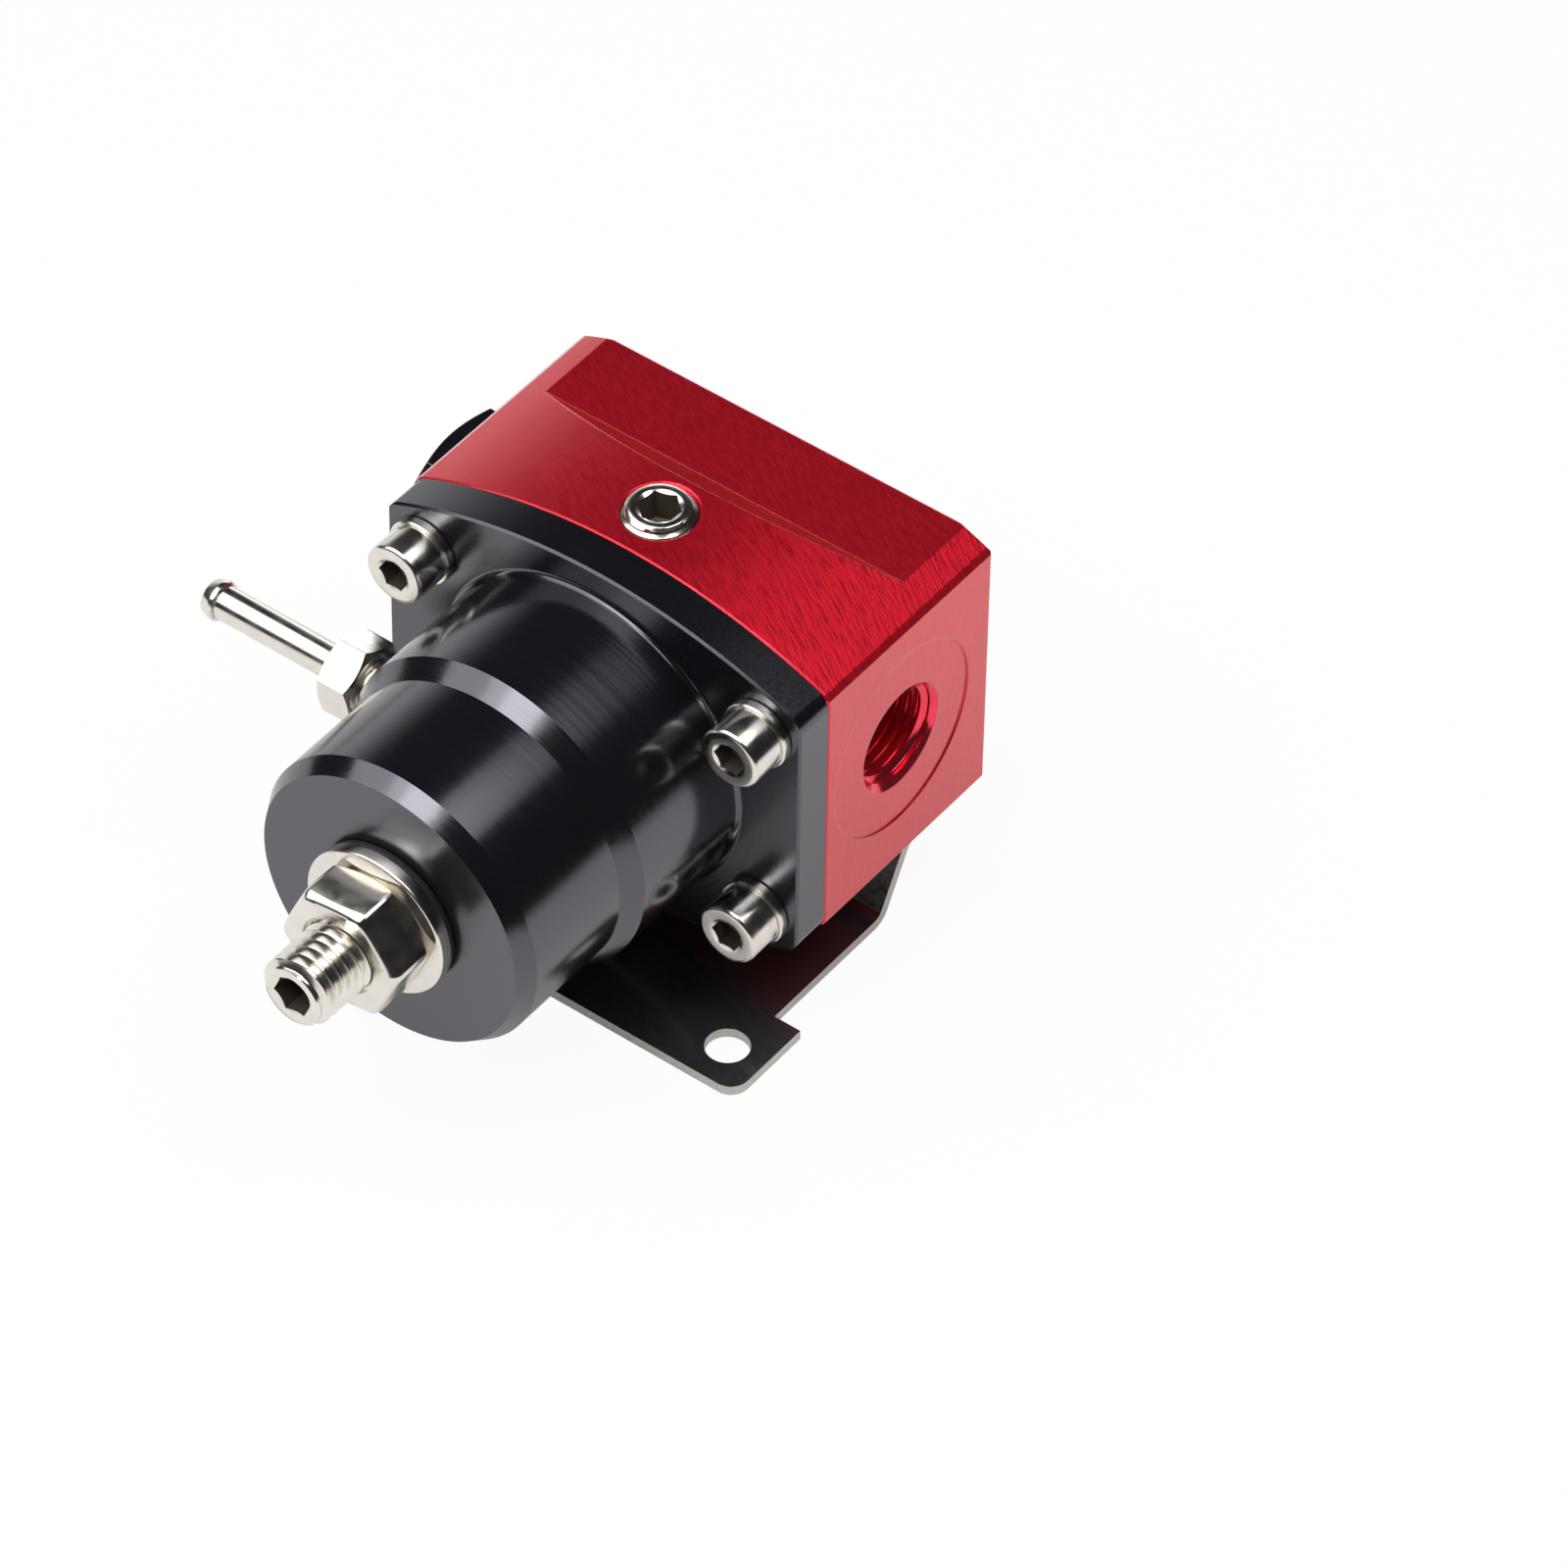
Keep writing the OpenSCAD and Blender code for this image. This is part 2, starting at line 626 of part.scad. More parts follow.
module cap_screw() difference() {
    union() {
        rotate_extrude() {
            square([bolt_head_d / 2, bolt_head_h - bolt_edge]);
            translate([0, bolt_head_h - bolt_edge]) square([bolt_head_d / 2 - bolt_edge, bolt_edge]);
            translate([bolt_head_d / 2 - bolt_edge, bolt_head_h - bolt_edge]) circle(bolt_edge);
        }
        translate([0, 0, -bolt_len]) rod(bolt_d / 2, bolt_len, small_edge);
    }
    translate([0, 0, bolt_head_h]) hex_socket(bolt_socket, bolt_socket_depth);
}

module cap_screws() color(nickel) on_axis() at_bolts() translate([0, flange_y - split_t, 0]) facing_front()
    cap_screw();

module split_washer() difference() {
    ring(split_d, bolt_d + 2 * hole_play, split_t);
    translate([0, split_d / 4, split_t / 2]) rotate([0, slit_slant, 0])
        cube([split_slit, split_d, split_t + 2 * cut], center = true);
}

module cap_screw_washers() color(nickel) on_axis() at_bolts() translate([0, flange_y, 0]) facing_front()
    rotate(slit_turn) split_washer();

module vacuum_nipple() color(nickel) on_axis() translate([0, -nipple_fwd, 0]) facing_left() difference() {
    hex_z = barrel_d / 2 + nipple_stand;
    tube_z = hex_z + nipple_hex_len;
    collar = tube_d / 2 + bead_h;
    union() {
        translate([0, 0, spring_room_d / 2]) rod(nipple_thread_d / 2, hex_z - spring_room_d / 2, small_edge);
        translate([0, 0, hex_z]) rotate(nipple_turn) chamfered_hex(nipple_af, nipple_hex_len);
        rotate_extrude() polygon([[0, tube_z - cut], [collar, tube_z - cut], [collar, tube_z],
            [tube_d / 2, tube_z + bead_h], [tube_d / 2, nipple_reach - bead_len],
            [collar, nipple_reach - bead_len + bead_h], [collar, nipple_reach - bead_h],
            [tube_d / 2, nipple_reach], [0, nipple_reach]]);
    }
    translate([0, 0, spring_room_d / 2 - cut])
        cylinder(d = tube_bore, h = nipple_reach - spring_room_d / 2 + 2 * cut);
}

module gauge_port_plug() color(nickel) on_axis()
    translate([0, gauge_back, crest_h / 2 + gauge_plug_proud]) difference() {
        translate([0, 0, -gauge_plug_len])
            rod(gauge_d / 2 - thread_play, gauge_plug_len, small_edge, small_edge);
        rotate(gauge_turn) hex_socket(gauge_socket, gauge_socket_depth);
    }

module at_left_port() on_axis() translate([spot_depth - body_w / 2, port_back, port_rise]) facing_left()
    children();

// The neck under the head leaves room for the O-ring
module inlet_port_plug() color(black) at_left_port() {
    rotate(plug_turn) chamfered_hex(plug_af, plug_head_len, false);
    rotate_extrude() polygon([[0, cut], [plug_neck_r, cut], [plug_neck_r, -mouth_len],
        [port_tap_d / 2, -mouth_len - o_ring_t / 2], [port_tap_d / 2, small_edge - plug_thread_len],
        [port_tap_d / 2 - small_edge, -plug_thread_len], [0, -plug_thread_len]]);
}

// Radius of a port's mouth at a depth under the spot face
function mouth_r(depth) = port_d / 2 + mouth_flare * (1 - depth / mouth_len);

// Squeezed between the neck, the head and the port's mouth
module inlet_plug_o_ring() color(rubber) at_left_port() rotate_extrude() {
    far = o_ring_t - small_edge;
    polygon([[plug_neck_r, -small_edge], [plug_neck_r + small_edge, 0], [mouth_r(0) - small_edge, 0],
        [mouth_r(small_edge), -small_edge], [mouth_r(far), -far],
        [mouth_r(o_ring_t) - small_edge, -o_ring_t], [plug_neck_r + small_edge, -o_ring_t],
        [plug_neck_r, -far]]);
}

// Sheet section: plate, bend up, riser, bend back, tab under the body
module bracket_section() {
    a = riser_angle;
    outer = bend_r + sheet_t;
    riser_at = [fold_y + outer * sin(a), outer * (1 - cos(a))];
    translate([-front_margin, 0]) square([fold_y + front_margin, sheet_t]);
    translate([fold_y, outer]) bend(-90);
    translate(riser_at) rotate(a) square([riser_len, sheet_t]);
    translate([tab_y, joggle - bend_r]) bend(90);
    translate([tab_y, joggle]) square([tab_end_y - tab_y, sheet_t]);
}

// Sector of the sheet round a bend's centre, opening from the given angle
module bend(from) {
    far = 2 * (bend_r + sheet_t);
    intersection() {
        difference() {
            circle(bend_r + sheet_t);
            circle(bend_r);
        }
        polygon([[0, 0], far * [cos(from), sin(from)],
            far * [cos(from + riser_angle / 2), sin(from + riser_angle / 2)],
            far * [cos(from + riser_angle), sin(from + riser_angle)]]);
    }
}

// Outline of the sheet from above: ears with round front corners, then the neck
module bracket_plan() {
    half = ear_w / 2;
    translate([-half + ear_r, -front_margin]) square([ear_w - 2 * ear_r, ear_len]);
    translate([-half, -front_margin + ear_r]) square([ear_w, ear_len - ear_r]);
    for (x = [-1, 1]) translate([x * (half - ear_r), ear_r - front_margin]) circle(ear_r);
    translate([-neck_w / 2, -front_margin + ear_r]) square([neck_w, tab_end_y + front_margin - ear_r]);
}

module mounting_bracket() color(black) difference() {
    intersection() {
        translate([-ear_w / 2 - cut, 0, 0]) rotate([90, 0, 90])
            linear_extrude(ear_w + 2 * cut) bracket_section();
        translate([0, 0, -cut]) linear_extrude(bracket_rise + 2 * cut) bracket_plan();
    }
    for (x = [-1, 1]) {
        translate([x * hole_span / 2, 0, -cut]) cylinder(d = hole_d, h = sheet_t + 2 * cut);
        translate([x * bracket_bolt_span / 2, bracket_bolt_y, joggle - cut])
            cylinder(d = bracket_bolt_d + 2 * hole_play, h = sheet_t + 2 * cut);
    }
}

// Domed head with its flat side at z = 0 and the thread above it
module button_screw() {
    dome_r = (pow(bracket_head_d / 2, 2) + pow(bracket_head_h, 2)) / (2 * bracket_head_h);
    difference() {
        union() {
            rotate_extrude() intersection() {
                translate([0, dome_r - bracket_head_h]) circle(dome_r);
                translate([0, -bracket_head_h]) square([bracket_head_d / 2, bracket_head_h]);
            }
            rod(bracket_bolt_d / 2, bracket_bolt_len, 0, small_edge);
        }
        translate([0, 0, -bracket_head_h]) mirror([0, 0, 1])
            hex_socket(bracket_socket, bracket_socket_depth);
    }
}

module bracket_screws() color(steel) for (x = [-1, 1])
    translate([x * bracket_bolt_span / 2, bracket_bolt_y, joggle]) button_screw();

body();
bonnet();
diaphragm();
spring_cup();
valve_plate();
diaphragm_nut();
valve_disc();
valve_seat();
main_spring();
spring_button();
adjusting_screw();
jam_nut();
nut_washer();
nut_seal();
cap_screws();
cap_screw_washers();
vacuum_nipple();
gauge_port_plug();
inlet_port_plug();
inlet_plug_o_ring();
mounting_bracket();
bracket_screws();
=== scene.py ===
import json
import math

import bmesh
import bpy
from mathutils import Matrix, Vector


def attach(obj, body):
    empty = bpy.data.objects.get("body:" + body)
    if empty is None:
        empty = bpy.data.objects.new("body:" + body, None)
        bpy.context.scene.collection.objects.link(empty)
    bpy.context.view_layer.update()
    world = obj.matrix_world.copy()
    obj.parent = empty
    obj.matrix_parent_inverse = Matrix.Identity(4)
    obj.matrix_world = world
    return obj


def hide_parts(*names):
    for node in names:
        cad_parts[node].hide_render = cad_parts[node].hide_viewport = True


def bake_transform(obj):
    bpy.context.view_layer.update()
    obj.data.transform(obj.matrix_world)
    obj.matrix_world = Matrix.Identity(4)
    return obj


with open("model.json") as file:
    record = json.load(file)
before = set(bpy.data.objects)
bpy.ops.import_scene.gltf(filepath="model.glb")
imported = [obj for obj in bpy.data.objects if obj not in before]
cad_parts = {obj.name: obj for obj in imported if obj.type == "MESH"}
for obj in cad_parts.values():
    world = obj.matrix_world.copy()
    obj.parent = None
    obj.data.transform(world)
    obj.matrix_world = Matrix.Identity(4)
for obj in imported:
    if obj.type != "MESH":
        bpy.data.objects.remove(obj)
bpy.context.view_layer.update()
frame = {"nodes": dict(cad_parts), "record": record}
nodes = frame["nodes"]
scene = bpy.context.scene
scene.view_settings.view_transform = "Standard"
mm = 0.001
axisZ = 33.0                              # height of the bonnet's axis, in mm
print("frame loaded:", len(nodes), "nodes")


def linear(hexText):                      # sRGB hex to the linear colour that shaders take
    parts = [int(hexText[i:i + 2], 16) / 255 for i in (1, 3, 5)]
    return [c / 12.92 if c <= 0.04045 else ((c + 0.055) / 1.055) ** 2.4 for c in parts] + [1.0]


def addNode(tree, kind, settings=None, links=None):
    node = tree.nodes.new(kind)
    for key, value in (settings or {}).items():
        if isinstance(key, str) and hasattr(node, key):
            setattr(node, key, value)
        else:
            node.inputs[key].default_value = value
    for key, socket in (links or {}).items():
        tree.links.new(socket, node.inputs[key])
    return node


def fromTo(source, target=(0.0, 1.0)):    # settings that map one range to another
    return {"From Min": source[0], "From Max": source[1], "To Min": target[0], "To Max": target[1]}


def between(first, second):               # settings that mix two colours, links take sockets 6 and 7
    return {"data_type": "RGBA", 6: linear(first), 7: linear(second)}


def newMaterial(name, settings):
    material = bpy.data.materials.new(name)
    material.use_nodes = True
    shader = material.node_tree.nodes["Principled BSDF"]
    for key, value in settings.items():
        shader.inputs[key].default_value = value
    return material, material.node_tree, shader


# the camera stands at the photograph's angle
viewpoint = {"place": (0.49365, -0.61753, 0.82429), "centre": (0, 0.0144, 0.0330),
             "aim": (0.02040, 0.02130, 0.02579), "lens": 209.07, "sensor": 36}

cameraData = bpy.data.cameras.new("photo_camera")
cameraData.lens = viewpoint["lens"]
cameraData.sensor_width = viewpoint["sensor"]
camera = bpy.data.objects.new("photo_camera", cameraData)
scene.collection.objects.link(camera)
camera.location = viewpoint["place"]
straight = Vector(viewpoint["centre"]) - Vector(viewpoint["place"])
aside = Vector(viewpoint["aim"]) - Vector(viewpoint["place"])      # the photograph is framed off its own centre
camera.rotation_euler = (straight.rotation_difference(aside) @ straight.to_track_quat("-Z", "Y")).to_euler()
scene.camera = camera
print("camera set")


# floor, soft boxes and the room around them
studio = {
    "floorRadius": 6.0,
    "floorSegments": 96,
    "floorDrop": 0.0001,
    "floorColour": "#f4f4f4",
    "tableColour": "#2c2c2c",
    "floorWhite": 0.95,              # share of plain white in what the camera sees, the rest takes the shadow
    "floorGloss": 0.25,              # the same for what shiny metal shows
    "paperEdge": (0.13, 0.34),       # the paper ends on the right, so shiny metal goes dark there
    "wall": {"low": (0.05, 0.55), "left": (-0.8, 0.1), "behind": (0.0, 0.45), "dim": "#232325", "pale": "#f8f8f8"},
    "target": (0, 0.01, 0.03),
    "lamps": {
        "key": {"place": (-0.49, -0.45, 1.12), "size": (1.7, 1.5), "power": 15.0, "along": (1.0, -0.24, 0.36)},
        "middle": {"place": (-0.22, -0.51, 1.10), "size": (0.74, 0.6), "power": 2.2, "along": (1.0, -0.24, 0.36)},
        "core": {"place": (-0.11, -0.53, 1.08), "size": (0.46, 0.5), "power": 1.7, "along": (1.0, -0.24, 0.36)},
        "rear": {"place": (0.160, 0.085, 0.490), "size": (0.27, 0.35), "power": 0.85, "along": (1.0, 0.0, -0.35)},
        "edge": {"place": (-0.44, 0.90, 0.17), "size": (0.6, 0.12), "power": 0.57, "along": (0.88, 0.45, 0.0)},
        "fill": {"place": (0.70, 0.30, 0.50), "size": (0.6, 0.5), "power": 0.9, "along": (0.0, 1.0, 0.0)},
    },
    "notMirrored": ("fill",),        # lamps that shiny metal doesn't show
}

floorMesh = bpy.data.meshes.new("studio_floor")
bm = bmesh.new()
bmesh.ops.create_circle(bm, cap_ends=True, radius=studio["floorRadius"], segments=studio["floorSegments"])
bm.to_mesh(floorMesh)
bm.free()
floor = bpy.data.objects.new("studio_floor", floorMesh)
floor.location = (0, 0, -studio["floorDrop"])
scene.collection.objects.link(floor)

# Matt white paper on a dark table: white to the camera, with a faint shadow under the part
floorPaper = bpy.data.materials.new("matt_white_paper")
floorPaper.use_nodes = True
tree = floorPaper.node_tree
tree.nodes.clear()
path = addNode(tree, "ShaderNodeLightPath")
seen = addNode(tree, "ShaderNodeMath", {"operation": "MAXIMUM"},
               {0: path.outputs["Is Camera Ray"], 1: path.outputs["Is Transmission Ray"]})
seen = addNode(tree, "ShaderNodeMath", {"operation": "MULTIPLY", 1: studio["floorWhite"]}, {0: seen.outputs[0]})
where = addNode(tree, "ShaderNodeTexCoord")
split = addNode(tree, "ShaderNodeSeparateXYZ", {}, {0: where.outputs["Object"]})
paper = addNode(tree, "ShaderNodeMapRange",
                {"interpolation_type": "SMOOTHSTEP", **fromTo(studio["paperEdge"], (1.0, 0.0))},
                {"Value": split.outputs["X"]})
shown = addNode(tree, "ShaderNodeMath", {"operation": "MULTIPLY"},
                {0: path.outputs["Is Glossy Ray"], 1: paper.outputs[0]})
share = addNode(tree, "ShaderNodeMath", {"operation": "MULTIPLY_ADD", 1: studio["floorGloss"]},
                {0: shown.outputs[0], 2: seen.outputs[0]})
colour = addNode(tree, "ShaderNodeMix", between(studio["tableColour"], studio["floorColour"]), {0: paper.outputs[0]})
matt = addNode(tree, "ShaderNodeBsdfDiffuse", {}, {"Color": colour.outputs[2]})
white = addNode(tree, "ShaderNodeEmission", {"Strength": 1.0})
both = addNode(tree, "ShaderNodeMixShader", {}, {0: share.outputs[0], 1: matt.outputs[0], 2: white.outputs[0]})
addNode(tree, "ShaderNodeOutputMaterial", {}, {"Surface": both.outputs[0]})
floorMesh.materials.append(floorPaper)

# the room: a pale wall low on the left behind, dim elsewhere
wall = studio["wall"]
world = bpy.data.worlds.new("studio_room")
scene.world = world
world.use_nodes = True
tree = world.node_tree
tree.nodes.clear()
facing = addNode(tree, "ShaderNodeTexCoord")
split = addNode(tree, "ShaderNodeSeparateXYZ", {}, {0: facing.outputs["Generated"]})
bounds = [addNode(tree, "ShaderNodeMapRange", {"interpolation_type": "SMOOTHSTEP", **fromTo(wall[side], target)},
                  {"Value": split.outputs[axis]})
          for side, target, axis in (("low", (1.0, 0.0), "Z"), ("left", (1.0, 0.0), "X"), ("behind", (0.0, 1.0), "Y"))]
bright = bounds[0]
for bound in bounds[1:]:
    bright = addNode(tree, "ShaderNodeMath", {"operation": "MULTIPLY"}, {0: bright.outputs[0], 1: bound.outputs[0]})
room = addNode(tree, "ShaderNodeMix", between(wall["dim"], wall["pale"]), {0: bright.outputs[0]})
sky = addNode(tree, "ShaderNodeBackground", {"Strength": 1.0}, {"Color": room.outputs[2]})
addNode(tree, "ShaderNodeOutputWorld", {}, {"Surface": sky.outputs[0]})

for name, look in studio["lamps"].items():
    data = bpy.data.lights.new(name + "_soft_box", "AREA")
    data.shape = "RECTANGLE"
    data.size, data.size_y = look["size"]
    data.energy = look["power"]
    lamp = bpy.data.objects.new(name + "_soft_box", data)
    away = (Vector(look["place"]) - Vector(studio["target"])).normalized()
    side = (Vector(look["along"]) - away * away.dot(Vector(look["along"]))).normalized()
    turn = Matrix((side, away.cross(side), away)).transposed().to_4x4()
    lamp.matrix_world = Matrix.Translation(look["place"]) @ turn
    lamp.visible_camera = False
    lamp.visible_glossy = name not in studio["notMirrored"]
    scene.collection.objects.link(lamp)
print("studio set")


noiseSpan = (0.3, 0.7)                    # where most of a noise pattern's values lie

# Anodised aluminium, milled, polished and dyed red: a clear hard film over bright metal, so it glows where light
# is thrown back and goes deep where it isn't, and short cutter marks run across the crown
# tilts are parts of the normal, lengths are in mm
redLook = {"colour": "#e31b32", "deep": "#d8162c", "mark": "#a80c1e", "cloud": 14.0,
           "markWidth": 0.34, "markLength": 2.6, "markTurn": 27, "markRelief": 0.11, "markRub": 0.16,
           "darkSpan": (0.5, 0.3), "darkMost": 0.95, "crownTilt": (0.9995, 0.995), "sideTilt": (0.6, 0.8),
           "runOut": (4, 24), "runLeast": 0.04, "rough": (0.28, 0.4), "edge": 0.35, "rampTilt": (0.55, 0.62),
           # ramp: a painted shade, the dark red that tints the ramp's reflection
           "ramp": "#3a0610"}

look = redLook
redAnodised, tree, shader = newMaterial("red_anodised_aluminium_milled", {
    "Metallic": 0.78, "Coat Roughness": 0.08, "Coat IOR": 1.35})
where = addNode(tree, "ShaderNodeTexCoord")
turned = addNode(tree, "ShaderNodeMapping", {"Rotation": (0, 0, math.radians(look["markTurn"]))},
                 {"Vector": where.outputs["Object"]})
lengthwise, crosswise = 1 / (look["markLength"] * mm), 1 / (look["markWidth"] * mm)
marks = addNode(tree, "ShaderNodeMapping", {"Scale": (lengthwise, crosswise, lengthwise)},
                {"Vector": turned.outputs[0]})
streaks = addNode(tree, "ShaderNodeTexNoise", {"Scale": 1.0, "Detail": 2.0, "Roughness": 0.6},
                  {"Vector": marks.outputs[0]})     # real marks are about 0.1 mm wide, drawn at 0.34 to show
cloud = addNode(tree, "ShaderNodeTexNoise", {"Scale": 1 / (look["cloud"] * mm), "Detail": 3.0},
                {"Vector": where.outputs["Object"]})
tint = addNode(tree, "ShaderNodeMix", between(look["deep"], look["colour"]), {0: cloud.outputs["Fac"]})
gloss = addNode(tree, "ShaderNodeMapRange", fromTo(noiseSpan, look["rough"]), {"Value": streaks.outputs["Fac"]})
facing = addNode(tree, "ShaderNodeNewGeometry")
upward = addNode(tree, "ShaderNodeSeparateXYZ", {}, {0: facing.outputs["Normal"]})
across = addNode(tree, "ShaderNodeSeparateXYZ", {}, {0: where.outputs["Object"]})
crowned = addNode(tree, "ShaderNodeMapRange", fromTo(look["crownTilt"]),
                  {"Value": upward.outputs["Z"]})   # the flats are smoother than the crown
sides = addNode(tree, "ShaderNodeMapRange", fromTo(look["sideTilt"]), {"Value": upward.outputs["Z"]})
runSpan = [end * mm for end in look["runOut"]]
run = addNode(tree, "ShaderNodeMapRange", fromTo(runSpan, (look["runLeast"], 1.0)),
              {"Value": across.outputs["X"]})       # the marks grow towards the right side
depth = addNode(tree, "ShaderNodeMath", {"operation": "MULTIPLY"}, {0: crowned.outputs[0], 1: sides.outputs[0]})
depth = addNode(tree, "ShaderNodeMath", {"operation": "MULTIPLY"}, {0: depth.outputs[0], 1: run.outputs[0]})
rub = addNode(tree, "ShaderNodeMath", {"operation": "MULTIPLY_ADD", 1: look["markRub"]},
              {0: depth.outputs[0], 2: gloss.outputs[0]})
broken = addNode(tree, "ShaderNodeBevel",
                 {"samples": 6, "Radius": look["edge"] * mm})       # edges are shaded as if rounded this far
relief = addNode(tree, "ShaderNodeBump", {"Distance": look["markRelief"] * mm},
                 {"Height": streaks.outputs["Fac"], "Strength": depth.outputs[0], "Normal": broken.outputs[0]})
dark = addNode(tree, "ShaderNodeMapRange", fromTo(look["darkSpan"], (0.0, look["darkMost"])),
               {"Value": streaks.outputs["Fac"]})
dark = addNode(tree, "ShaderNodeMath", {"operation": "MULTIPLY"}, {0: dark.outputs[0], 1: depth.outputs[0]})
tint = addNode(tree, "ShaderNodeMix", {"data_type": "RGBA", 7: linear(look["mark"])},
               {0: dark.outputs[0], 6: tint.outputs[2]})
rising = addNode(tree, "ShaderNodeMapRange", fromTo(look["rampTilt"]), {"Value": upward.outputs["Y"]})
rising = addNode(tree, "ShaderNodeMath", {"operation": "MULTIPLY"}, {0: rising.outputs[0], 1: sides.outputs[0]})
film = addNode(tree, "ShaderNodeMath", {"operation": "SUBTRACT", 0: 1.0},
               {1: rising.outputs[0]})              # painted shade: the ramp takes no film and a dark red reflection tint, so it reads darker at a glancing view
# painted shade: the ramp's reflection is tinted dark red
rampShadeTint = addNode(tree, "ShaderNodeMix", between("#ffffff", look["ramp"]), {0: rising.outputs[0]})
tree.links.new(tint.outputs[2], shader.inputs["Base Color"])
tree.links.new(rub.outputs[0], shader.inputs["Roughness"])
tree.links.new(relief.outputs[0], shader.inputs["Normal"])
tree.links.new(broken.outputs[0], shader.inputs["Coat Normal"])
tree.links.new(film.outputs[0], shader.inputs["Coat Weight"])
tree.links.new(rampShadeTint.outputs[2], shader.inputs["Specular Tint"])

# Anodised aluminium, turned and dyed black: a smooth dark film with a clean reflection, very fine rings from the lathe
blackLook = {"colour": "#0d0d11", "grey": "#141418", "sheen": "#f4f2ff", "ring": 0.3, "ringRelief": 0.0005,
             "cloud": 10.0, "rough": (0.14, 0.19), "faceTilt": (-0.96, -0.995), "faceMatt": 0.06}

look = blackLook
blackAnodised, tree, shader = newMaterial("black_anodised_aluminium_turned", {
    "IOR": 2.0, "Specular Tint": linear(look["sheen"])})
where = addNode(tree, "ShaderNodeTexCoord")
offset = addNode(tree, "ShaderNodeVectorMath", {"operation": "SUBTRACT", 1: (0, 0, axisZ * mm)},
                 {0: where.outputs["Object"]})
split = addNode(tree, "ShaderNodeSeparateXYZ", {}, {0: offset.outputs[0]})
flat = addNode(tree, "ShaderNodeCombineXYZ", {}, {"X": split.outputs["X"], "Z": split.outputs["Z"]})
radius = addNode(tree, "ShaderNodeVectorMath", {"operation": "LENGTH"}, {0: flat.outputs[0]})
lathe = addNode(tree, "ShaderNodeCombineXYZ", {}, {"X": radius.outputs["Value"], "Y": split.outputs["Y"]})
rings = addNode(tree, "ShaderNodeTexNoise",
                {"noise_dimensions": "2D", "Scale": 1 / (look["ring"] * mm), "Detail": 2.0},
                {"Vector": lathe.outputs[0]})       # lathe feed is about 0.1 mm, drawn at 0.3 to show
cloud = addNode(tree, "ShaderNodeTexNoise", {"Scale": 1 / (look["cloud"] * mm), "Detail": 4.0},
                {"Vector": where.outputs["Object"]})
tint = addNode(tree, "ShaderNodeMix", between(look["colour"], look["grey"]), {0: cloud.outputs["Fac"]})
gloss = addNode(tree, "ShaderNodeMapRange", fromTo(noiseSpan, look["rough"]), {"Value": rings.outputs["Fac"]})
relief = addNode(tree, "ShaderNodeBump", {"Strength": 1.0, "Distance": look["ringRelief"] * mm},
                 {"Height": rings.outputs["Fac"]})
facing = addNode(tree, "ShaderNodeNewGeometry")
forward = addNode(tree, "ShaderNodeSeparateXYZ", {}, {0: facing.outputs["Normal"]})
faced = addNode(tree, "ShaderNodeMapRange", fromTo(look["faceTilt"], (0.0, look["faceMatt"])),
                {"Value": forward.outputs["Y"]})    # faced ends are more matt than turned sides
gloss = addNode(tree, "ShaderNodeMath", {"operation": "ADD"}, {0: gloss.outputs[0], 1: faced.outputs[0]})
tree.links.new(tint.outputs[2], shader.inputs["Base Color"])
tree.links.new(gloss.outputs[0], shader.inputs["Roughness"])
tree.links.new(relief.outputs[0], shader.inputs["Normal"])

finishes = {"red_anodised": redAnodised, "black_anodised": blackAnodised}

